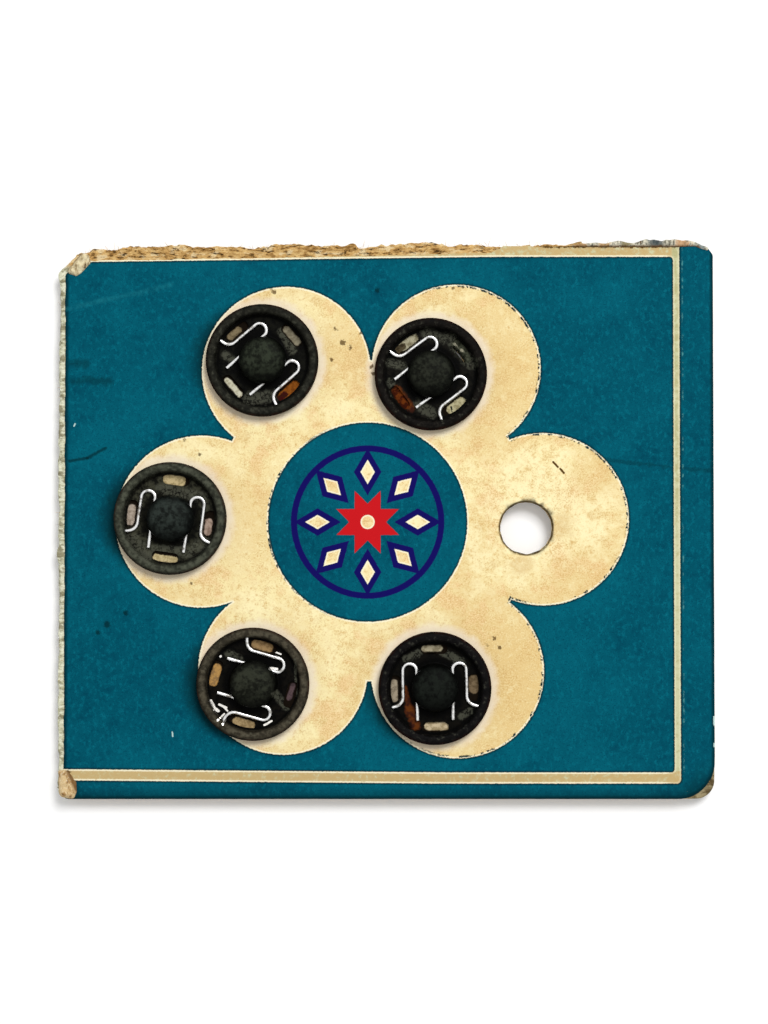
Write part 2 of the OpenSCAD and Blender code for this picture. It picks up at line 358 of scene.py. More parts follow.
class Nodes:
    """Short names for the nodes of one tree."""

    def __init__(self, tree):
        self.tree = tree

    def node(self, kind, inputs=(), **settings):
        """A new node with its settings, and with what some of its inputs take."""
        made = self.tree.nodes.new(kind)
        for key, value in settings.items():
            setattr(made, key, value)
        for key, value in dict(inputs).items():
            self.feed(made.inputs[key], value)
        return made

    def feed(self, socket, value):
        """Links a number or a colour that nodes make, and sets a plain one."""
        if isinstance(value, Number):
            value = value.socket
        if isinstance(value, bpy.types.NodeSocket):
            self.tree.links.new(value, socket)
        else:
            socket.default_value = value

    def op(self, operation, *values):
        made = self.node("ShaderNodeMath", enumerate(values), operation=operation)
        return Number(self, made.outputs[0])

    def ranged(self, *values):
        """A number, taken smoothly from the range of the next two values to that of the last two."""
        made = self.node("ShaderNodeMapRange", enumerate(values), interpolation_type="SMOOTHSTEP")
        return Number(self, made.outputs[0])

    def mix(self, share, a, b):
        """Colour a, going to b as the share goes from 0 to 1."""
        return self.node("ShaderNodeMix", {0: share, 6: a, 7: b}, data_type="RGBA").outputs[2]

    def layers(self, colour, *steps):
        """Lays tones over a colour one after the other, each by its share."""
        for share, tone in steps:
            colour = self.mix(share, colour, tone)
        return colour


class Net(Nodes):
    """Nodes of one material. Places and sizes in it are in millimetres."""

    def __init__(self, name):
        self.material = bpy.data.materials.new(name)
        self.material.use_nodes = True
        super().__init__(self.material.node_tree)
        self.shader = self.tree.nodes["Principled BSDF"]
        coordinates = self.node("ShaderNodeTexCoord").outputs["Object"]
        scale = self.node("ShaderNodeVectorMath", {0: coordinates, "Scale": 1 / MM}, operation="SCALE")
        self.where = scale.outputs[0]
        split = self.node("ShaderNodeSeparateXYZ", {0: self.where})
        self.x, self.y = (Number(self, socket) for socket in split.outputs[:2])

    def noise(self, scale, detail=2.0, roughness=0.5, stretch=(1, 1, 1), shift=0.0):
        """Noise of about 0 to 1, with about scale lumps to the millimetre."""
        move = (shift, shift * 0.7, shift * 0.3)
        mapping = self.node("ShaderNodeMapping", dict(Vector=self.where, Scale=stretch, Location=move))
        grain = dict(Vector=mapping.outputs[0], Scale=scale, Detail=detail, Roughness=roughness)
        return Number(self, self.node("ShaderNodeTexNoise", grain).outputs[0])

    def length(self, x, y):
        return (x * x + y * y).op("SQRT")

    def circle(self, middle, r):
        """Distance outside a circle."""
        return self.length(self.x - middle[0], self.y - middle[1]) - r

    def corner(self, x, y, r):
        """Distance outside a rounded corner whose two sides are x and y away."""
        x, y = x + r, y + r
        return self.length(x.most(0), y.most(0)) + x.most(y).least(0) - r

    def segment(self, a, b):
        """Distance from a straight line between two points."""
        (ax, ay), (bx, by) = a, b
        dx, dy = bx - ax, by - ay
        px, py = self.x - ax, self.y - ay
        along = ((px * dx + py * dy) / (dx * dx + dy * dy)).most(0).least(1)
        return self.length(px - along * dx, py - along * dy)

    def finish(self, colour, roughness, height, depth, metallic=0.0, specular=0.5):
        """Sets the shader, with bumps of the given height in millimetres."""
        bump = self.node("ShaderNodeBump", dict(Distance=depth * MM, Height=height))
        inputs = {"Base Color": colour, "Roughness": roughness, "Metallic": metallic}
        inputs |= {"Specular IOR Level": specular, "Normal": bump.outputs[0]}
        for key, value in inputs.items():
            self.feed(self.shader.inputs[key], value)
        return self.material


PAPER = srgb(249, 233, 176)
PAPER_TAN = srgb(230, 200, 138)
PAPER_STAIN = srgb(206, 164, 98)
PAPER_PALE = srgb(253, 246, 216)
PAPER_LIGHT = srgb(254, 242, 192)
PAPER_ROSE = srgb(240, 205, 150)
PAPER_PINK = srgb(250, 236, 214)
FOXING = srgb(92, 66, 28)
TEAL = srgb(1, 81, 99)
TEAL_DARK = srgb(0, 62, 82)
TEAL_PALE = srgb(5, 105, 123)
TEAL_STREAK = srgb(30, 124, 136)
FLECK_PALE = srgb(190, 220, 214)
SECOND_EDGE = srgb(96, 164, 158)
INK_EDGE = srgb(3, 38, 44)
NAVY = srgb(20, 14, 92)
RED = srgb(200, 26, 32)
PAPER_GREY = srgb(204, 198, 172)
OLIVE = srgb(92, 95, 78)
OLIVE_DARK = srgb(44, 46, 36)
RUST = srgb(98, 50, 16)
RUST_DARK = srgb(54, 24, 16)
LINE_PALE = srgb(202, 204, 166)
LINE_TAN = srgb(194, 168, 116)
LINE_OLIVE = srgb(178, 176, 130)

# Marks in the ink: creases (darkened as painted shade), a light streak, smudges, spots and pale flecks,
# then dashes on the paper
LEFT_CREASE = ((-30.95, 5.97), (-29.2, 6.26), (-27.4, 7.24))
RIGHT_CREASE = ((20.0, 6.26), (31.9, 4.99))
LIGHT_STREAK = ((-31.3, 20.9), (-27.9, 21.7), (-24.0, 22.5), (-21.0, 23.3))
SMUDGES = (
    ((-30.9, 15.5), (-29.4, 15.6)),
    ((-30.6, 13.8), (-27.1, 13.8)),
    ((-30.0, -26.7), (-30.2, -25.4)),
)
INK_SPOTS = (((-25.4, -8.9), 0.22), ((-27.2, -10.0), 0.3), ((-28.1, -10.8), 0.2), ((-0.8, 22.7), 0.2))
INK_FLECKS = (
    ((-30.5, 9.4), (-30.4, 9.6)),
    ((-20.8, -20.5), (-20.75, -20.9)),
    ((32.04, -19.0), (32.06, -19.8)),
    ((32.06, -21.6), (32.06, -21.9)),
)
DASHES = (((16.4, 5.87), (16.85, 5.4)), ((17.1, 5.2), (17.45, 4.8)))

# Paper under the snaps: dark as painted shade, with a paler patch in each sewing hole
UNDER_PAINTED_SHADE = srgb(24, 18, 12)
SNAP_TURNS = (-49, -53, -8, -106, 1)
SEW_HOLE_COUNT = 4

# Each patch: distance from the snap's middle, shift, length and width of the patch, and its two tones
# Painted shade: the patch tones are the paper's tone and its rust and olive stains, darkened for the shade
# inside the socket
UNDER_PATCHES = (
    (
        (3.9, 0.1, 2.6, 0.9, srgb(140, 80, 26), srgb(112, 60, 18)),
        (3.8, 0.0, 2.3, 0.72, srgb(146, 138, 116), srgb(118, 110, 90)),
        (3.85, 0.3, 1.7, 0.68, srgb(132, 118, 90), srgb(104, 92, 68)),
        (3.85, 0.1, 2.4, 0.55, srgb(214, 210, 186), srgb(176, 170, 142)),
    ),
    (
        (3.95, 0.2, 2.2, 0.95, srgb(190, 182, 144), srgb(150, 140, 104)),
        (3.8, 0.0, 2.6, 1.1, OLIVE, OLIVE_DARK),
        (3.85, -0.2, 2.3, 0.84, srgb(178, 172, 144), srgb(128, 120, 94)),
        (3.6, 0.1, 2.6, 1.1, srgb(56, 20, 9), srgb(104, 50, 16)),
    ),
    (
        (3.75, -0.3, 1.7, 0.74, srgb(176, 154, 138), srgb(136, 114, 100)),
        (3.75, 0.2, 2.3, 1.0, srgb(204, 184, 138), srgb(164, 146, 104)),
        (3.9, 0.15, 2.1, 0.8, srgb(182, 168, 152), srgb(146, 132, 116)),
        (3.95, 0.0, 2.5, 0.66, srgb(208, 190, 144), srgb(172, 154, 110)),
    ),
    (
        (3.95, 0.2, 2.3, 0.85, srgb(178, 154, 112), srgb(140, 118, 82)),
        (3.75, 0.3, 1.8, 0.5, srgb(92, 74, 76), srgb(66, 54, 56)),
        (3.8, 0.2, 2.2, 0.9, srgb(166, 136, 94), srgb(128, 102, 68)),
        (3.8, 0.2, 2.3, 0.88, srgb(186, 144, 84), srgb(146, 114, 74)),
    ),
    (
        (3.8, 0.3, 1.9, 0.95, srgb(124, 106, 80), srgb(94, 78, 56)),
        (3.85, 0.2, 2.1, 0.6, srgb(176, 166, 138), srgb(138, 128, 102)),
        (3.95, 0.2, 2.2, 0.66, srgb(166, 152, 130), srgb(128, 116, 98)),
        (3.7, 0.15, 2.4, 0.84, srgb(206, 188, 154), srgb(164, 146, 112)),
    ),
)

# Stains on that paper: number of the snap, a line from its middle, its width and two tones
UNDER_STAINS = (
    (0, (1.7, -3.7), (2.15, -3.3), 0.42, RUST_DARK, srgb(64, 16, 18)),
    (1, (-2.75, 2.75), (-3.3, 2.35), 0.4, srgb(84, 74, 54), srgb(54, 46, 32)),
    (1, (2.0, -3.2), (2.1, -3.7), 0.1, OLIVE_DARK, OLIVE_DARK),
    (1, (2.1, 3.2), (3.3, 2.2), 0.12, PAPER_GREY, OLIVE),
    (4, (1.15, -3.35), (1.3, -3.4), 0.18, OLIVE_DARK, OLIVE_DARK),
)

# Broad changes of tone on the bare paper: place, radius, share and tone
PAPER_TONES = (
    ((15.5, 1.0), 7.0, 0.7, PAPER_LIGHT),
    ((11.5, -15.5), 9.0, 1.0, PAPER_TAN),
    ((-13.5, 0.5), 6.5, 0.6, PAPER_TAN),
    ((11.0, 15.0), 7.0, 0.85, PAPER_TAN),
    ((-4.5, 16.5), 5.0, 0.7, PAPER_TAN),
    ((20.5, 5.0), 3.0, 0.55, PAPER_TAN),
    ((18.5, -6.0), 3.2, 0.6, PAPER_TAN),
    ((17.2, -0.4), 1.5, 0.5, PAPER_STAIN),
    ((13.2, -4.2), 1.4, 0.5, PAPER_STAIN),
    ((9.0, 8.4), 2.5, 0.6, PAPER_TAN),
    ((-9.5, -13.5), 5.0, 0.4, PAPER_TAN),
)

# Foxing on the bare paper: place and radius
SPOTS = (
    ((-10.95, 22.6), 0.2), ((-2.4, 18.6), 0.2), ((-4.2, 17.6), 0.24), ((-3.5, 17.1), 0.2),
    ((-5.3, 15.9), 0.16), ((-4.9, 18.9), 0.14), ((-1.4, 15.2), 0.16), ((-1.2, 14.6), 0.14),
    ((10.6, -11.3), 0.2), ((9.9, -12.0), 0.16), ((11.1, -12.3), 0.14), ((-18.2, 6.6), 0.16),
    ((-18.9, 5.3), 0.12), ((-19.7, 8.0), 0.14), ((6.6, 23.0), 0.12), ((7.6, 23.0), 0.12),
    ((-17.7, -15.6), 0.14), ((-14.1, 12.2), 0.1), ((-19.0, -6.0), 0.1), ((-30.9, -24.4), 0.22),
)


class Sheet(Net):
    """Nodes of the printed sheet: the noise and the shapes that its paper and its ink share."""

    def __init__(self, name):
        super().__init__(name)
        self.grain = self.noise(7.0, 3.0, 0.6)
        self.fleck = self.noise(3.2, 2.0, 0.6, shift=9.0)
        self.mottle = self.noise(0.9, 4.0, 0.65)
        self.blotch = self.noise(0.13, 3.0, 0.55, shift=4.0)
        self.laid = self.noise(1.8, 4.0, 0.72, shift=27.0)
        self.streak = self.noise(2.4, 4.0, 0.75, stretch=(1.1, 0.8, 1.0), shift=13.0)
        self.ragged = (self.noise(4.5, 3.0, 0.6, shift=2.0) - 0.5) * 0.22
        self.ticks = self.noise(1.9, 2.0, 0.7, shift=21.0).rise(0.48, 0.56)
        self.from_snaps = [self.circle(snap, SNAP_R) for snap in SNAPS]
        self.draw_flower()
        self.draw_medallion()
        self.draw_frame()
        self.draw_ornament()

    def draw_flower(self):
        """Round petals on a round core, with dark beads along the right sides of the petals."""
        flower = self.circle(FLOWER, CORE_R)
        for middle, r in PETALS:
            flower = flower.least(self.circle(middle, r))
        right_sides = largest([(self.x - middle[0]).rise(r * 0.3, r * 0.7) for middle, r in PETALS])
        right_sides = right_sides * (self.x - FLOWER[0]).rise(0, 9)
        self.flower = flower + self.ragged
        self.beads = self.ticks * right_sides * abs(self.flower + 0.15).fall(0.06, 0.14)

    def draw_medallion(self):
        """Round field in the flower, with dark beads along its left side."""
        x, y = self.x - MEDALLION[0], self.y - MEDALLION[1]
        self.radius = self.length(x, y)
        self.angle = self.op("ARCTAN2", y, x)
        self.medallion = self.radius - MEDALLION_R + self.ragged
        left_side = (x / MEDALLION_R).fall(-0.8, -0.2)
        self.beads = self.beads.most(self.ticks * left_side * abs(self.medallion - 0.08).fall(0.05, 0.12))

    def draw_frame(self):
        """Frame line round the field, and the teal on both sides of it."""
        sag = (self.x * SAG_SLOPE + SAG_LEVEL).most(SAG_LEAST)
        self.past_right = self.x - FIELD_RIGHT
        self.past_bottom = sag + FIELD_BOTTOM - self.y
        self.past_top = self.y - (self.x * TOP_SLOPE + TOP_LEVEL).least(FIELD_TOP)
        low_corner = self.corner(self.past_right, self.past_bottom, FIELD_CORNER_R)
        high_corner = self.corner(self.past_right, self.past_top, FIELD_CORNER_R)
        self.inner = low_corner.most(high_corner) + self.ragged * 0.6
        outer = self.corner(self.x - LINE_RIGHT, sag + LINE_BOTTOM - self.y, LINE_CORNER_R)
        self.outer = outer + self.ragged * 0.6
        self.teal = self.inner.most(-self.flower).least(-self.outer).least(self.medallion)

    def draw_ornament(self):
        """Ring, lozenges and star in the round field."""
        radius, ragged = self.radius, self.ragged * 0.5
        sides = 2 * math.pi / LOZENGE_COUNT
        turned = self.angle - self.op("ROUND", self.angle / sides) * sides
        a, b = (LOZENGE_OUT_R - LOZENGE_IN_R) / 2, LOZENGE_W / 2
        lozenge_x = abs(radius * turned.op("COSINE") - (LOZENGE_IN_R + a)) / a
        lozenge_y = abs(radius * turned.op("SINE")) / b
        lozenge = (lozenge_x + lozenge_y - 1) * (a * b / math.hypot(a, b)) + ragged
        band = abs(radius - LOZENGE_OUT_R) - RING_LINE / 2 + ragged
        bare = lozenge + LOZENGE_LINE
        half = sides / 2
        from_point = half - abs(turned)
        tip = (STAR_OUT_R, 0.0)
        notch = (STAR_IN_R * math.cos(half), STAR_IN_R * math.sin(half))
        edge = math.hypot(notch[0] - tip[0], notch[1])
        star = (radius * from_point.op("COSINE") - tip[0]) * (notch[1] / edge) + ragged
        star = star + radius * from_point.op("SINE") * ((tip[0] - notch[0]) / edge)
        dot = STAR_DOT_R - radius
        self.teal = self.teal.most(-bare).most(dot)
        self.navy = band.least(lozenge).most(-bare)
        self.red = star.most(dot)


def aged_paper(net):
    """Bare paper, mottled and stained."""
    grain, fleck, mottle, laid = net.grain, net.fleck, net.mottle, net.laid
    cloud = net.noise(0.26, 4.0, 0.62, shift=31.0)
    paper = net.layers(
        PAPER,
        (net.blotch.rise(0.42, 0.7) * 0.6, PAPER_TAN),
        (cloud.rise(0.5, 0.62) * 0.8, PAPER_ROSE),
        (cloud.fall(0.38, 0.52) * 0.7, PAPER_LIGHT),
    )
    for middle, r, share, tone in PAPER_TONES:
        near = net.circle(middle, 0.0) + (mottle - 0.5) * r * 2.4 + (laid - 0.5) * r
        paper = net.mix(near.fall(r * 0.3, r * 1.1) * share, paper, tone)
    near_edge = (net.flower + (mottle - 0.5) * 2.4).rise(-1.6, -0.2)
    speckled = grain.rise(0.48, 0.6) * (mottle * 0.5 + cloud * 0.5).rise(0.46, 0.56)
    return net.layers(
        paper,
        (near_edge * 0.4, PAPER_TAN),
        (mottle.rise(0.54, 0.8) * 0.5, PAPER_STAIN),
        (mottle.fall(0.3, 0.46) * 0.45, PAPER_LIGHT),
        (laid.rise(0.5, 0.66) * 0.55, PAPER_TAN),
        (laid.rise(0.58, 0.7) * 0.5, PAPER_STAIN),
        (fleck.rise(0.52, 0.68) * 0.4, PAPER_TAN),
        (grain.rise(0.54, 0.74) * 0.35, PAPER_STAIN),
        (grain.fall(0.28, 0.48) * 0.4, PAPER_LIGHT),
        (speckled * 0.45, PAPER_STAIN),
    )


def under_snaps(net, paper):
    """Paper that is paler round the snaps, dark under them as painted shade, and stained and darkened as
    painted shade in their sewing holes.
    """
    fleck = net.fleck
    weave = net.laid.rise(0.44, 0.6)
    for snap, from_snap, turn, patches in zip(SNAPS, net.from_snaps, SNAP_TURNS, UNDER_PATCHES):
        ring = from_snap + (net.mottle - 0.5) * 1.2
        paper = net.mix(ring.fall(0.2, 1.1) * 0.7, paper, PAPER_PINK)
        # Painted shade: the paper under each snap is made dark
        paper = net.mix(from_snap.fall(-1.0, -0.8), paper, UNDER_PAINTED_SHADE)
        # Painted shade: each sewing hole's patch takes its darkened tones
        for k, (reach, shift, length, width, first, second) in enumerate(patches):
            angle = math.radians(turn) + k * 2 * math.pi / SEW_HOLE_COUNT
            out = np.array((math.cos(angle), math.sin(angle)))
            along = np.array((-out[1], out[0]))
            middle = np.array(snap[:2]) + out * reach + along * shift
            half = along * (length - width) / 2
            patch = net.segment(tuple(middle - half), tuple(middle + half)) + (fleck - 0.5) * 0.24
            share = patch.fall(width / 2 - 0.08, width / 2 + 0.06)
            paper = net.mix(share, paper, net.mix(weave, first, second))
    for i, start, end, width, first, second in UNDER_STAINS:
        snap = SNAPS[i]
        line = net.segment((snap.x + start[0], snap.y + start[1]), (snap.x + end[0], snap.y + end[1]))
        stain = (line + (fleck - 0.5) * 0.5).fall(width * 0.6, width)
        paper = net.mix(stain, paper, net.mix(weave, first, second))
    return paper


def frame_line(net, paper):
    """Tones of the frame line, and the pale outline of all the bare paper."""
    at_bottom = net.past_bottom.rise(-0.3, 0.0)
    at_top = net.past_top.rise(-0.2, 0.1)
    pale = (-net.y).rise(-4.0, 6.0) * 0.1 - at_bottom * 0.2 - at_top * 0.06
    dark_tone = net.mix(net.past_right.rise(-0.2, 0.0) * (1 - at_bottom), LINE_TAN, LINE_OLIVE)
    tone = net.mix((net.laid - pale).rise(0.36, 0.6), LINE_PALE, dark_tone)
    outline = abs(net.teal).fall(0.08, 0.17 + net.fleck * 0.06) * net.fleck.rise(0.2, 0.4)
    outline = outline * (1 - (net.past_right + 1).rise(0.0, 0.8) * 0.65)
    return net.layers(paper, (net.inner.rise(0.0, 0.05) * 0.92, tone), (outline * 0.85, PAPER_PALE))


def brown_marks(net):
    """Share of dark brown on the paper: spots, dashes, the empty hole's edge and the torn top edge."""
    fleck = net.fleck
    marks = [(net.circle(middle, r) + (fleck - 0.5) * 0.7).fall(-0.08, 0.08) * 0.85 for middle, r in SPOTS]
    marks += [(net.segment(a, b) + net.ragged * 0.3).fall(0.08, 0.13) for a, b in DASHES]
    marks.append(abs(net.circle(EMPTY_HOLE, HOLE_R)).fall(0.08, 0.22) * fleck.rise(0.2, 0.5) * 0.85)
    torn = (net.y + (fleck - 0.5) * 0.5).rise(TOP - 0.14, TOP)
    torn = torn * (net.x - TORN_LINE_LEFT).rise(0.0, 1.2)
    marks.append(torn * (LINE_RIGHT - net.x).rise(0.0, 0.3))
    return largest(marks)


def worn_teal(net):
    """Teal ink, mottled, streaked and worn thin in places."""
    fleck, mottle, streak = net.fleck, net.mottle, net.streak
    second_edge = abs(net.outer - 0.3).fall(0.02, 0.1) * (net.y - LINE_BOTTOM).rise(0.0, 1.0)
    second_edge = second_edge * net.past_right.rise(0.2, 0.5)
    second_edge = second_edge * mottle.rise(0.47, 0.57) * streak.rise(0.44, 0.58)
    return net.layers(
        TEAL,
        (mottle.rise(0.44, 0.74) * 0.7, TEAL_DARK),
        (net.blotch.rise(0.4, 0.65) * 0.4, TEAL_PALE),
        (streak.rise(0.48, 0.66) * 0.7, TEAL_PALE),
        (streak.rise(0.64, 0.76) * fleck.rise(0.42, 0.6) * 0.5, TEAL_STREAK),
        (net.grain.fall(0.3, 0.48) * 0.8, TEAL_DARK),
        (abs(net.teal).fall(0.04, 0.27) * 0.85, INK_EDGE),
        (second_edge * 0.55, SECOND_EDGE),
    )


def dirty_and_shaded_teal(net, ink):
    """Teal ink with painted shadows by the snaps, painted shade along the card's edges, bottom margin and
    crushed corner and in its creases, and with smudges, spots and flecks.
    """
    fleck, mottle, ragged = net.fleck, net.mottle, net.ragged
    # Painted shadow: the ink darkens beside each snap, most on its left side
    painted_snap_shadows = [
        (from_snap + (net.x - snap.x) * 0.22 + (mottle - 0.5) * 1.2).fall(-1.0, 0.5)
        for snap, from_snap in zip(SNAPS, net.from_snaps)
    ]
    corner_x = (net.x - (RIGHT - FACE_CORNER_R)).most(0)
    corner_y = ((BOTTOM + FACE_CORNER_R) - net.y).most(0)
    to_edge = (FACE_CORNER_R - net.length(corner_x, corner_y)).least(net.x - FACE_LEFT)
    crushed = (net.circle((RIGHT, BOTTOM), 0.0) + (mottle - 0.5) * 2).fall(2.0, 4.2)
    dark = [
        largest(painted_snap_shadows) * 0.85,
        # Painted shade: the bottom margin darkens towards the card's edge
        (LINE_BOTTOM - net.y).rise(0.2, 1.6) * 0.45,
        # Painted shade along the card's turned-down edges
        to_edge.fall(0.1, 0.36 + fleck * 0.2) * 0.85,
        # Painted shade at the crushed, pressed-down corner
        crushed * 0.5,
    ]
    # Painted shade in the creases: the ink darkens along them
    for a, b in zip(LEFT_CREASE, LEFT_CREASE[1:]):
        dark.append((net.segment(a, b) + ragged * 0.8).fall(0.04, 0.24) * 0.75)
    dark.append((net.segment(*RIGHT_CREASE) + (mottle - 0.5) * 1.2).fall(0.0, 0.25) * 0.4)
    ink = net.layers(ink, *((share, INK_EDGE) for share in dark))
    for a, b in zip(LIGHT_STREAK, LIGHT_STREAK[1:]):
        line = (net.segment(a, b) + (fleck - 0.5) * 0.5).fall(0.02, 0.4)
        ink = net.mix(line * net.streak.rise(0.3, 0.55) * 0.26, ink, TEAL_STREAK)
    spots = [(net.circle(middle, r) + ragged * 2).fall(-0.1, 0.15) * 0.8 for middle, r in INK_SPOTS]
    smudges = [(net.segment(a, b) + (mottle - 0.5) * 1.6).fall(0.0, 0.6) * 0.5 for a, b in SMUDGES]
    ink = net.layers(ink, *((share, INK_EDGE) for share in spots + smudges))
    flecks = [(net.segment(a, b) + ragged * 0.4).fall(0.04, 0.1) * 0.9 for a, b in INK_FLECKS]
    worn = net.noise(2.6, 2.0, 0.5, shift=17.0).rise(0.74, 0.8)
    ink = net.layers(ink, *((share, FLECK_PALE) for share in flecks))
    return net.mix(worn * 0.6, ink, TEAL_STREAK)


def print_material():
    """Aged paper printed in teal, navy and red."""
    net = Sheet("printed_paper")
    paper = frame_line(net, under_snaps(net, aged_paper(net)))
    paper = net.mix(brown_marks(net), paper, FOXING)
    paper = net.mix(net.beads * net.fleck.rise(0.3, 0.5), paper, INK_EDGE)
    ink = dirty_and_shaded_teal(net, worn_teal(net))
    colour = net.layers(
        paper,
        (net.teal.fall(-INK_SOFT, INK_SOFT), ink),
        (net.navy.fall(-INK_SOFT, INK_SOFT), NAVY),
        (net.red.fall(-INK_SOFT, INK_SOFT), RED),
    )
    inked = net.teal.least(net.navy).least(net.red).fall(-INK_SOFT, INK_SOFT)
    roughness = 0.86 - inked * 0.16 + (net.grain - 0.5) * 0.2
    return net.finish(colour, roughness, net.grain + net.fleck * 0.6, 0.012, specular=0.02)


def board_material(name, torn_share):
    """Grey-cream pasteboard, brown and fibrous where it is torn, with painted highlights and painted shade
    among the torn fibres.
    """
    net = Net(name)
    fibre = net.noise(2.2, 4.0, 0.65, stretch=(0.5, 1.7, 2.2))
    lump = net.noise(1.0, 3.0, 0.6, stretch=(0.7, 1.3, 1.5), shift=5.0)
    grain = net.noise(8.0, 2.0, 0.6, shift=8.0)
    plain = net.layers(
        srgb(222, 200, 152),
        (fibre.rise(0.4, 0.7), srgb(190, 160, 112)),
        (grain.rise(0.5, 0.8) * 0.5, srgb(150, 118, 76)),
    )
    # The torn tones are partly the board's own fibres, partly painted highlights in cream and painted shade
    # in dark brown crevices
    torn = net.layers(
        srgb(218, 182, 120),
        (fibre.rise(0.36, 0.6), srgb(182, 138, 78)),
        (lump.fall(0.36, 0.48) * 0.6, srgb(240, 222, 178)),
        (lump.rise(0.54, 0.66) * 0.8, srgb(134, 94, 44)),
        (fibre.rise(0.54, 0.62) * 0.9, srgb(52, 36, 16)),
        (grain.rise(0.58, 0.78) * 0.6, srgb(80, 58, 28)),
    )
    fringe = net.layers(
        srgb(238, 238, 212),
        (fibre.rise(0.4, 0.65), srgb(196, 194, 160)),
        (lump.rise(0.48, 0.6) * 0.75, srgb(124, 114, 80)),
    )
    crushed = net.mix(lump.rise(0.4, 0.6), srgb(160, 146, 112), srgb(84, 70, 44))
    at_corner = net.circle((RIGHT, BOTTOM), 0.0).fall(2.2, 3.4)
    at_left = (FACE_LEFT + 0.7 - net.x).rise(0.0, 0.4)
    at_top = (net.y - (TOP - 2.2)).rise(0.0, 0.6)
    browned = at_top * (net.x - 17).rise(0.0, 4.0) * fibre.rise(0.3, 0.5)
    colour = net.layers(
        plain,
        (at_left, fringe),
        (at_corner * 0.95, crushed),
        (at_top.most(torn_share), torn),
        (browned * 0.8, srgb(62, 46, 28)),
    )
    return net.finish(colour, 0.9, fibre + grain * 0.3 + lump * 0.8, 0.16, specular=0.05)


def flap_material(name, fold, light, dark, patches=()):
    """Peeled or frayed paper: brown along its fold, lumpy and fibrous away from it, in patches of tone."""
    net = Net(name)
    fibre = net.noise(1.7, 3.0, 0.6, stretch=(1.5, 0.8, 1.0), shift=fold[0][1])
    grain = net.noise(7.0, 2.0, 0.6, shift=3.0)
    colour = net.layers(
        light,
        (fibre.rise(0.45, 0.62), dark),
        (fibre.rise(0.6, 0.7), srgb(96, 70, 38)),
        (grain.fall(0.3, 0.5) * 0.4, srgb(248, 240, 214)),
    )
    for middle, r, tone in patches:
        near = net.circle(middle, 0.0) + (fibre - 0.5) * 2.0 + (grain - 0.5) * 0.8
        colour = net.mix(near.fall(r * 0.4, r) * 0.85, colour, tone)
    at_fold = (net.segment(*fold) + (fibre - 0.5) * 0.6).fall(0.1, 0.42)
    colour = net.mix(at_fold * 0.9, colour, srgb(112, 78, 40))
    return net.finish(colour, 0.9, fibre + grain * 0.3, 0.1, specular=0.05)


BARE_METAL = srgb(235, 232, 224)
WORN_METAL = srgb(88, 89, 76)
CUP_R = 2.35
RIM_IN_R = 4.5

# Each snap: tones of its rim, floor and cup, then rust, wear and bright chips
# Each of those is a line from the snap's middle, with its width
SNAP_FINISH = (
    dict(
        rim=srgb(27, 27, 22), floor=srgb(11, 11, 8), cup=srgb(30, 34, 26),
        wear=(
            ((1.9, 2.9), (2.9, 1.0), 0.4), ((-1.2, -3.7), (0.9, -3.5), 0.6),
            ((-3.7, 0.6), (-3.0, 0.2), 0.35),
        ),
    ),
    dict(
        rim=srgb(14, 12, 10), floor=srgb(14, 13, 10), cup=srgb(26, 28, 22),
        rust=(((-3.3, -1.4), (-1.9, -3.3), 0.35),),
        wear=(
            ((-0.4, 4.0), (1.9, 3.4), 0.5), ((1.9, 3.4), (4.0, 1.1), 0.55),
            ((-4.0, 1.1), (-2.8, 0.9), 0.4), ((-3.9, -0.7), (-3.6, -1.9), 0.35),
            ((-1.2, -3.0), (0.1, -3.8), 0.5),
        ),
    ),
    dict(
        rim=srgb(51, 53, 44), floor=srgb(40, 40, 31), cup=srgb(29, 34, 31),
        wear=(
            ((-1.0, 2.95), (3.1, 2.1), 0.5), ((-3.6, -2.0), (-2.2, -3.6), 0.6),
            ((1.6, -3.4), (3.4, -2.2), 0.5), ((-1.6, -2.9), (1.2, -3.2), 0.4),
        ),
    ),
    dict(
        rim=srgb(54, 50, 40), floor=srgb(8, 7, 5), cup=srgb(30, 32, 25),
        wear=(
            # The first wear line here is a painted highlight along the inner side of the rim
            ((4.1, 2.4), (4.2, -1.1), 0.12), ((2.2, -1.0), (3.2, -2.2), 0.35),
            ((-2.4, 2.9), (-1.4, 2.5), 0.35),
        ),
        chips=(
            ((-4.1, -1.6), (-3.7, -2.4), 0.13), ((-3.7, -2.4), (-3.4, -2.6), 0.16),
            ((-3.3, -2.0), (-2.6, -2.3), 0.1), ((-2.9, -2.2), (-2.5, -2.6), 0.08),
            ((-3.4, -3.5), (-2.8, -2.9), 0.08), ((-2.9, -3.9), (-2.7, -3.4), 0.09),
            ((1.1, -4.0), (1.8, -3.6), 0.1), ((1.7, 1.5), (2.3, 1.45), 0.13),
            ((2.2, 3.1), (2.7, 2.9), 0.07), ((-3.2, 2.68), (-3.15, 2.72), 0.09),
        ),
    ),
    dict(
        rim=srgb(11, 10, 10), floor=srgb(8, 7, 5), cup=srgb(14, 17, 14),
        rust=(((-2.95, 0.0), (-2.5, -1.9), 0.24), ((-2.5, -1.9), (-1.9, -3.6), 0.42)),
        wear=(
            ((-2.8, 2.9), (-1.6, 3.4), 0.35), ((0.8, 3.5), (2.6, 2.6), 0.35),
            ((2.6, -2.8), (3.4, -2.2), 0.3),
        ),
    ),
)


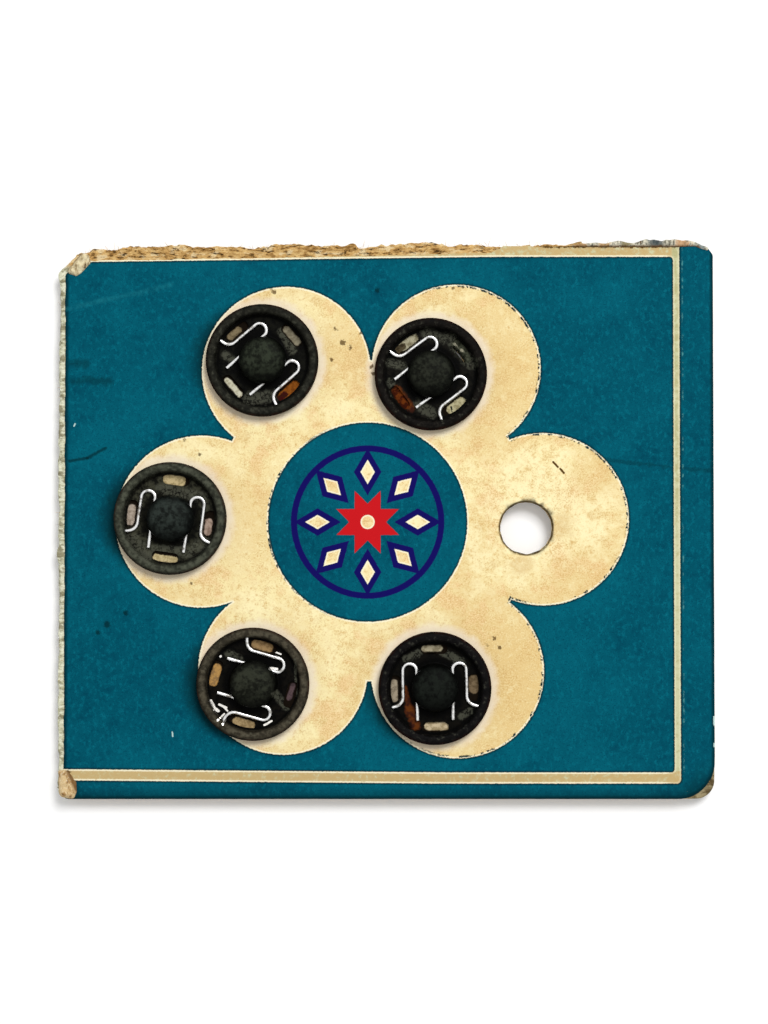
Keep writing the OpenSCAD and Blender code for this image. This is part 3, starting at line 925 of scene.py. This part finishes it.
def enamel_material(name, middle, rim, floor, cup, rust=(), wear=(), chips=()):
    """Black enamel on stamped steel: dusty, worn, rusted and chipped in places, with painted light on the
    cup's upper side, a painted highlight on the rim's crest and painted shade in the crevices.
    """
    net = Net(name)
    radius = net.length(net.x - middle[0], net.y - middle[1])
    grain = net.noise(6.0, 3.0, 0.65, shift=middle[0])
    cloud = net.noise(1.3, 3.0, 0.6, shift=middle[1])
    fleck = net.noise(2.4, 3.0, 0.6, shift=middle[0] + 7)
    vein = abs(net.noise(1.5, 3.0, 0.6, shift=middle[1] + 19) - 0.5)
    mottled = (cloud * 0.45 + fleck * 0.55).rise(0.4, 0.6)

    def dusty(tone, factor=1.0, dark=0.2, light=2.0):
        return net.mix(mottled, lit(tone, dark * factor), lit(tone, light * factor))

    # Painted light: the cup is lighter on its upper side and darker below, as lit and shaded copies of its
    # tone
    painted_lit_top = radius.fall(1.5, 2.2) * (net.y - middle[1]).rise(-2.4, 0.2)
    cup_painted_light = net.mix(painted_lit_top, dusty(cup, 0.25, 0.4, 1.7), dusty(cup, 1.3, 0.4, 1.7))
    colour = net.mix(radius.rise(CUP_R - 0.1, CUP_R + 0.1), cup_painted_light, dusty(floor))
    # Painted shade: black round the foot of the cup and inside the rim's inner edge
    painted_crevice_shade = abs(radius - CUP_R - 0.25).fall(0.1, 0.6) * 0.85
    painted_crevice_shade = painted_crevice_shade.most((abs(radius - RIM_IN_R + 0.12) + (fleck - 0.5) * 0.3).fall(0.05, 0.22) * 0.75)
    colour = net.mix(painted_crevice_shade, colour, (0.0, 0.0, 0.0, 1.0))
    # Painted highlight: the rim is lighter along its crest and darker at its edges
    painted_crest_highlight = abs(radius - (SNAP_R - 0.52)).fall(0.12, 0.5)
    roll = net.mix(painted_crest_highlight, dusty(rim, 0.4, 0.5, 1.5), dusty(rim, 1.4, 0.55, 1.5))
    colour = net.mix(radius.rise(RIM_IN_R - 0.1, RIM_IN_R + 0.1), colour, roll)
    edge = radius.rise(SNAP_R - 0.3, SNAP_R - 0.05) * cloud.rise(0.4, 0.6)
    colour = net.mix(edge * 0.35, colour, RUST_DARK)
    rubbed = abs(radius - SNAP_R + 0.6).fall(0.1, 0.4) * fleck.rise(0.54, 0.7)
    colour = net.mix(rubbed * 0.3, colour, WORN_METAL)
    roughness = 0.5 + mottled * 0.2 + (grain - 0.5) * 0.2
    metallic = 0.0

    def spread(lines, softness):
        shares = []
        for (ax, ay), (bx, by), width in lines:
            near = net.segment((middle[0] + ax, middle[1] + ay), (middle[0] + bx, middle[1] + by))
            near = near + (fleck - 0.5) * width * 1.6
            shares.append(near.fall(width * (1 - softness), width * (1 + softness)))
        return largest(shares)

    if wear:
        worn = spread(wear, 0.4) * vein.rise(0.0, 0.06)
        colour = net.mix(worn * (0.3 + cloud * 0.5), colour, WORN_METAL)
    if rust:
        rusted = spread(rust, 0.45)
        colour = net.mix(rusted, colour, RUST_DARK)
        colour = net.mix(rusted * cloud.rise(0.35, 0.6), colour, RUST)
    if chips:
        chipped = spread(chips, 0.15)
        colour = net.mix(chipped, colour, BARE_METAL)
        metallic = chipped
        roughness = roughness - chipped * 0.3
    height = grain * 0.4 + cloud * 0.6 + fleck * 0.5
    return net.finish(colour, roughness, height, 0.05, metallic=metallic, specular=0.03)


def wire_material():
    """Bright drawn steel wire, a little tarnished."""
    net = Net("bright_wire")
    cloud = net.noise(1.6, 3.0, 0.6)
    grain = net.noise(12.0, 2.0, 0.6)
    colour = net.mix(cloud.rise(0.48, 0.7), srgb(222, 222, 220), srgb(128, 124, 116))
    return net.finish(colour, 0.2 + cloud * 0.2, grain, 0.006, metallic=1.0)


# Pasteboard

# Corners of the card, anticlockwise, with radii: the last two are the ends of the fold at the top left
CARD_CORNERS = (
    (LEFT + 0.12, BOTTOM, 0.9),
    (RIGHT, BOTTOM, 1.7),
    (RIGHT, TOP + 0.13, 1.2),
    (10.0, TOP + 0.36, 2.0),
    (-15.0, TOP + 0.18, 2.0),
    (LEFT + 5.5, TOP + 0.05, 2.0),
    (LEFT + 2.0, TOP - 0.45, 0.4),
    (LEFT + 0.12, TOP - 2.6, 0.6),
)
BOARD_STEP = 0.18
BOARD_TOP_Z = INK_Z - 0.05
BOARD_H = BOARD_TOP_Z - CARD_Z

# Section of the card's edge from its back to its face
# Each ring: inset and height above the back where the edge is cut, then where it is torn
EDGE_RINGS = (
    (0.8, 0.0, 0.8, 0.0),
    (0.06, 0.0, 0.2, 0.0),
    (0.0, 0.06, 0.06, 0.1),
    (0.0, 0.25, 0.0, 0.24),
    (0.0, 0.5, 0.05, 0.42),
    (0.02, 0.58, 0.18, 0.55),
    (0.06, 0.63, 0.42, 0.62),
    (0.14, 0.66, 0.7, 0.68),
    (0.3, 0.69, 1.0, 0.7),
    (1.0, BOARD_H, 1.5, BOARD_H),
)


def corner_drop(points):
    """How far the crushed corner at the bottom right is pressed down."""
    away = np.hypot(RIGHT - points[:, 0], points[:, 1] - BOTTOM)
    return 0.28 * smooth(-away, -2.4, -0.7)


def torn_share(points):
    """How far the card's edge is torn at some points: 1 on the top edge, less on the left one."""
    x, y = points.T
    top = smooth(y, TOP - 1.4, TOP - 0.5)
    left = 0.5 * smooth(-x, -LEFT - 1.0, -LEFT - 0.4)
    return np.maximum(top, left)


def make_board(material):
    solid = Solid()
    base = rounded_outline(CARD_CORNERS, BOARD_STEP)
    reach = EDGE_RINGS[-1][2]
    inner = rounded_outline(inset_corners(CARD_CORNERS, reach, 0.3), BOARD_STEP, len(base))
    s = np.arange(len(base)) * BOARD_STEP
    torn = torn_share(base)
    rings = []
    for k, (cut_inset, cut_z, torn_inset, torn_z) in enumerate(EDGE_RINGS):
        loose = 1.0 if 0 < k < len(EDGE_RINGS) - 1 else 0.0
        wave = rough(1, s, 3.1) * 0.6 + rough(2, s, 1.1) * 0.5 + rough(3, s, 0.45) * 0.25
        wobble = rough(10 + k, s, 0.6) * 0.6 + rough(30 + k, s, 0.25) * 0.4
        inset = cut_inset + (torn_inset - cut_inset) * torn
        inset = inset + loose * torn * (0.02 + 0.34 * wave + 0.16 * wobble) + loose * 0.012 * wobble
        height = CARD_Z + cut_z + (torn_z - cut_z) * torn
        height = height + loose * torn * 0.18 * (rough(50 + k, s, 0.6) * 0.6 + rough(70 + k, s, 0.25) * 0.4)
        height = np.clip(height, CARD_Z, BOARD_TOP_Z) - corner_drop(base) * (height > CARD_Z + 0.45)
        share = (inset / reach)[:, None]
        rings.append(solid.add(np.column_stack((base + (inner - base) * share, height))))
    for low, high in zip(rings, rings[1:]):
        solid.wall(low, high)
    loops = {False: [rings[0]], True: [rings[-1]]}
    for middle in HOLES:
        ring = circle(middle, HOLE_R)
        low = solid.add(np.column_stack((ring, np.full(len(ring), CARD_Z))))
        high = solid.add(np.column_stack((ring, np.full(len(ring), BOARD_TOP_Z))))
        solid.wall(high, low)
        loops[False].append(low)
        loops[True].append(high)
    for up, loop in loops.items():
        solid.cap(loop, [], HOLES, up)
    board = solid.piece("card_board", material, sharp=50)
    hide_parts("card")
    return board


# Sheet that carries the print

FACE_STEP = 0.22
FACE_GRID = 0.5

# Corners of the face, anticlockwise, with radii
FACE_CORNERS = (
    (FACE_LEFT, BOTTOM + FACE_INSET, 0.5),
    (RIGHT - FACE_INSET, BOTTOM + FACE_INSET, FACE_CORNER_R),
    (RIGHT - FACE_INSET, TOP + 0.13, 1.2),
    (28.95, TOP + 0.12, 0.1),
    (28.7, TOP + 0.09, 0.1),
    (11.6, TOP + 0.04, 0.2),
    (10.3, TOP - 0.6, 0.2),
    (-10.0, 25.95, 0.5),
    (LEFT + 2.3, 25.66, 0.3),
    (FACE_LEFT, TOP - 2.7, 0.3),
)


def face_height(points, edge):
    """Height of the printed face: almost flat, creased, turned down along its cut edges."""
    drop = 0.1 * np.exp(-((distance_to(points, edge) / 0.16) ** 2)) * (1 - torn_share(points))
    drop += corner_drop(points)
    for crease in (LEFT_CREASE, RIGHT_CREASE):
        for a, b in zip(crease, crease[1:]):
            a, b = np.array(a), np.array(b)
            t = np.clip(((points - a) @ (b - a)) / ((b - a) @ (b - a)), 0, 1)
            gap = np.linalg.norm(points - a - t[:, None] * (b - a), axis=1)
            drop += 0.03 * np.exp(-((gap / 0.35) ** 2))
    ripple = np.array([0.012 + 0.012 * fractal(px, py, 0.35) for px, py in points])
    return FACE_Z - drop - np.clip(ripple, 0, 0.03)


def make_face(material):
    outline = rounded_outline(FACE_CORNERS, FACE_STEP)
    normal = outward(outline)
    s = np.arange(len(outline)) * FACE_STEP
    wobble = rough(90, s, 0.9) * 0.6 + rough(91, s, 0.35) * 0.4
    torn = torn_share(outline + normal * 0.9)
    outline = outline + normal * ((0.008 + 0.1 * torn) * wobble)[:, None]
    loops = [outline] + [circle(h, HOLE_R + 0.01) for h in HOLES]
    loose = grid_inside(outline, HOLES, FACE_GRID, 0.2, seed=92)

    solid = Solid()
    flat = np.concatenate(loops + [loose])
    height = face_height(flat, outline)
    sheets = []
    for z in (height, height - PLY):
        numbers = solid.add(np.column_stack((flat, z)))
        ends = np.cumsum([len(loop) for loop in loops])
        rims = [numbers[e - len(loop): e] for e, loop in zip(ends, loops)]
        sheets.append((rims, numbers[ends[-1]:]))
    (top_rims, top_loose), (low_rims, low_loose) = sheets
    solid.cap(top_rims, top_loose, HOLES, True)
    top_faces = len(solid.faces)
    solid.cap(low_rims, low_loose, HOLES, False)
    low_faces = len(solid.faces)
    solid.wall(low_rims[0], top_rims[0])
    for low, high in zip(low_rims[1:], top_rims[1:]):
        solid.wall(high, low)
    face = solid.piece("card_face", material)
    map_face(face.data, top_faces, low_faces)
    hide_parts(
        "print_field", "print_margin", "print_medallion", "print_ornament_navy", "print_ornament_red"
    )
    return face


def map_face(mesh, top_faces, low_faces):
    """Lays the face flat over most of its map, with its hidden underside and its edges in a strip above."""
    layer = mesh.uv_layers.new(name="OFBake")
    width = RIGHT - LEFT
    for polygon in mesh.polygons:
        for loop in polygon.loop_indices:
            p = mesh.vertices[mesh.loops[loop].vertex_index].co / MM
            u, v = (p.x - LEFT) / width, (p.y - BOTTOM) / width
            if polygon.index < top_faces:
                layer.data[loop].uv = (u, v)
            elif polygon.index < low_faces:
                layer.data[loop].uv = (u * 0.14, 0.86 + v * 0.14)
            else:
                layer.data[loop].uv = (0.2 + u * 0.7, 0.87 + v * 0.1 + (p.z - CARD_Z) * 0.01)


# Peeled corners and the frayed strip: outline with radii, the way each rises and how far,
# then its fold, its two tones and its patches of other tones

FLAP_STEP = 0.09
FLAP_GRID = 0.11

# Tones in the frayed strip at the top right: place, radius and tone
FRAY_PATCHES = (
    ((19.0, TOP + 0.3), 1.0, srgb(168, 130, 84)),
    ((21.4, TOP + 0.3), 0.7, srgb(182, 146, 98)),
    ((23.6, TOP + 0.4), 0.7, srgb(122, 112, 72)),
    ((26.5, TOP + 0.5), 1.1, srgb(56, 70, 76)),
    ((29.1, TOP + 0.5), 0.9, srgb(194, 150, 106)),
    ((31.0, TOP + 0.1), 0.6, srgb(120, 134, 136)),
)

FLAPS = {
    "corner_flap_top": dict(
        corners=(
            (LEFT + 0.75, TOP - 2.62, 0.3), (LEFT + 1.75, TOP - 2.85, 0.35), (LEFT + 2.55, TOP - 2.35, 0.3),
            (LEFT + 3.12, TOP - 1.6, 0.25), (LEFT + 3.05, TOP - 0.85, 0.25), (LEFT + 2.2, TOP - 0.62, 0.3),
        ),
        lean=(-0.77, 0.64),
        rise=0.42,
        look=(
            ((LEFT + 0.5, TOP - 2.4), (LEFT + 2.2, TOP - 0.55)),
            srgb(226, 212, 172), srgb(176, 156, 116),
        ),
    ),
    "corner_flap_bottom": dict(
        corners=(
            (LEFT + 0.3, BOTTOM + 0.15, 0.5), (LEFT + 1.75, BOTTOM + 0.08, 0.4),
            (LEFT + 2.05, BOTTOM + 0.7, 0.3), (LEFT + 1.9, BOTTOM + 1.7, 0.3),
            (LEFT + 1.0, BOTTOM + 2.85, 0.25), (LEFT + 0.2, BOTTOM + 2.8, 0.25),
        ),
        lean=(-0.9, -0.43),
        rise=0.4,
        look=(
            ((LEFT + 1.2, BOTTOM + 2.8), (LEFT + 2.1, BOTTOM + 0.9)),
            srgb(216, 188, 140), srgb(172, 134, 86),
        ),
    ),
    "edge_peel": dict(
        corners=(
            (18.2, TOP + 0.03, 0.05), (30.5, TOP + 0.01, 0.2), (RIGHT - 0.45, TOP - 0.4, 0.1),
            (RIGHT - 0.4, TOP - 0.1, 0.12), (30.3, TOP + 0.5, 0.3), (28.4, TOP + 0.7, 0.3),
            (26.9, TOP + 0.6, 0.3), (25.6, TOP + 0.72, 0.3), (24.0, TOP + 0.32, 0.3),
            (22.8, TOP + 0.66, 0.25), (21.6, TOP + 0.36, 0.25), (20.4, TOP + 0.44, 0.25),
            (18.4, TOP + 0.2, 0.1),
        ),
        lean=(0.0, 1.0),
        rise=0.05,
        look=(
            ((18.0, TOP - 0.15), (30.6, TOP - 0.15)),
            srgb(216, 210, 188), srgb(112, 112, 100), FRAY_PATCHES,
        ),
    ),
}


def make_flap(name, corners, lean, rise, look):
    outline = rounded_outline(corners, FLAP_STEP)
    s = np.arange(len(outline)) * FLAP_STEP
    outline = outline + outward(outline) * (rough(120, s, 0.4) * 0.06)[:, None]
    loose = grid_inside(outline, [], FLAP_GRID, 0.06, seed=121)
    flat = np.concatenate((outline, loose))
    middle = flat.mean(0)
    reach = np.abs((flat - middle) @ np.array(lean)).max()
    toward_fold = ((flat - middle) @ np.array(lean)) / reach
    from_edge = distance_to(flat, outline)
    pillow = np.sqrt(np.clip(from_edge / 0.35, 0, 1))
    lumps = np.array([fractal(x, y, 1.5) for x, y in flat])
    top = FACE_Z + 0.05 + pillow * (0.14 + rise * smooth(toward_fold, -1, 0.8) * 0.7 + 0.12 * lumps)
    solid = Solid()
    high = solid.add(np.column_stack((flat, top)))
    low = solid.add(np.column_stack((flat, np.full(len(flat), FACE_Z - 0.12))))
    rim = len(outline)
    solid.cap([high[:rim]], high[rim:], [], True)
    solid.cap([low[:rim]], low[rim:], [], False)
    solid.wall(low[:rim], high[:rim])
    return solid.piece(name, flap_material(name, *look), sharp=60)


# Loose fibres

FIBRE_COUNT = 420
FIBRE_R = 0.018


def make_fibres(material):
    """Fine hairs of torn paper, tapered and bent, along the top edge and at the worn corners."""
    draw = np.random.default_rng(SEED)
    base = rounded_outline(CARD_CORNERS, 0.1)
    normal = outward(base)
    weight = smooth(base[:, 1], TOP - 1.2, TOP - 0.5) + 0.12 * smooth(-base[:, 0], -LEFT - 1, -LEFT - 0.3)
    corner = np.hypot(RIGHT - base[:, 0], base[:, 1] - BOTTOM)
    weight = weight + 0.3 * smooth(-corner, -3.4, -1.5)
    picks = draw.choice(len(base), FIBRE_COUNT, p=weight / weight.sum())
    solid = Solid()
    for i in picks:
        place = base[i] - normal[i] * draw.uniform(0.15, 0.8)
        root = np.array((*place, CARD_Z + draw.uniform(0.35, 0.7)))
        aim = np.array((*normal[i], 0.0)) + draw.normal(0, 0.75, 3) * (1, 1, 0.35)
        bend = draw.normal(0, 0.7, 3) * (1, 1, 0.4)
        length = draw.uniform(0.2, 0.6)
        rings = []
        for t in np.linspace(0, 1, 5):
            middle = root + unit(aim) * length * t + bend * length * t * t * 0.6
            r = FIBRE_R * (1.1 - 0.8 * t)
            side = unit(np.cross(aim, (0.3, 0.2, 1.0)))
            over = unit(np.cross(side, aim))
            turns = [2 * math.pi * k / 3 for k in range(3)]
            rings.append(solid.add([middle + r * (side * math.cos(a) + over * math.sin(a)) for a in turns]))
        for low, high in zip(rings, rings[1:]):
            solid.wall(low, high)
        solid.faces.append(tuple(rings[0][::-1]))
        solid.faces.append(tuple(rings[-1]))
    return solid.piece("torn_fibres", material)


# Floor, light and camera

ROOM_LIGHT = 0.5
FLOOR_REACH = 1500
FLOOR_LIFT = 0.12
FAR_LIFT = 4.0
LAMP_PLACE = Vector((0.17, 0.29, 0.5))
LAMP_SIZE = 0.26
LAMP_POWER = 2.62


def seen_by_eye(nodes, unseen, seen):
    """One strength for light that falls on the object, and another for what the eye or a mirror sees."""
    path = nodes.node("ShaderNodeLightPath").outputs
    rays = [Number(nodes, path[f"Is {kind} Ray"]) for kind in ("Camera", "Glossy", "Transmission")]
    return largest(rays) * (seen - unseen) + unseen


def make_stage():
    net = Net("white_floor")
    speck = net.noise(0.05, 2.0)
    net.finish(net.mix(speck, (0.95, 0.95, 0.95, 1), (0.96, 0.96, 0.96, 1)), 0.9, speck, 0.0, specular=0.0)
    net.shader.inputs["Emission Color"].default_value = (1, 1, 1, 1)
    far = net.length(net.x, net.y).rise(120.0, 700.0)
    glow = seen_by_eye(net, 0.0, FLOOR_LIFT) * (1 + far * FAR_LIFT)
    net.feed(net.shader.inputs["Emission Strength"], glow)
    reach = FLOOR_REACH * MM
    corners = ((-reach, -reach, 0), (reach, -reach, 0), (reach, reach, 0), (-reach, reach, 0))
    mesh = bpy.data.meshes.new("floor")
    mesh.from_pydata(corners, [], [(0, 1, 2, 3)])
    mesh.materials.append(net.material)
    placed("floor", mesh)


def make_world():
    """Even white room: a plain level of light on the object, pure white where it is seen."""
    world = bpy.data.worlds.new("room")
    bpy.context.scene.world = world
    world.use_nodes = True
    nodes = Nodes(world.node_tree)
    background = nodes.tree.nodes["Background"]
    nodes.feed(background.inputs["Color"], (1, 1, 1, 1))
    nodes.feed(background.inputs["Strength"], seen_by_eye(nodes, ROOM_LIGHT, 1.0))


def make_lamp():
    light = bpy.data.lights.new("softbox", "AREA")
    light.size = LAMP_SIZE
    light.energy = LAMP_POWER
    lamp = placed("softbox", light)
    lamp.location = LAMP_PLACE
    lamp.rotation_mode = "QUATERNION"
    lamp.rotation_quaternion = (-LAMP_PLACE).to_track_quat("-Z", "Y")


CAMERA_DISTANCE = 220
CAMERA_TILT = math.radians(1.6)
FRAME_HEIGHT = 100.15
CAMERA_AIM = (-0.15, 0.98)


def make_camera():
    data = bpy.data.cameras.new("camera")
    data.lens = data.sensor_width * CAMERA_DISTANCE / FRAME_HEIGHT
    camera = placed("camera", data)
    back = Vector((0, -math.sin(CAMERA_TILT), math.cos(CAMERA_TILT)))
    aim = Vector((*CAMERA_AIM, INK_Z))
    camera.location = (aim + back * CAMERA_DISTANCE) * MM
    camera.rotation_euler = (CAMERA_TILT, 0, 0)
    data.clip_start = 0.01
    bpy.context.scene.camera = camera


def finish_node(name, material):
    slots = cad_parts[name].data.materials
    slots.clear()
    slots.append(material)


def dress_snaps():
    wire = wire_material()
    for n, (middle, finish) in enumerate(zip(SNAPS, SNAP_FINISH), 1):
        tones = {key: finish[key] for key in ("rim", "floor", "cup")}
        finish_node(f"socket_{n}", enamel_material(f"black_enamel_{n}", middle, **finish))
        finish_node(f"ball_{n}", enamel_material(f"back_enamel_{n}", middle, **tones))
        finish_node(f"spring_left_{n}", wire)
        finish_node(f"spring_right_{n}", wire)


make_board(board_material("pasteboard", 0.0))
make_face(print_material())
for flap_name, flap in FLAPS.items():
    make_flap(flap_name, **flap)
make_fibres(board_material("torn_fibre", 1.0))
dress_snaps()
make_stage()
make_world()
make_lamp()
make_camera()
bpy.context.scene.view_settings.view_transform = "Standard"
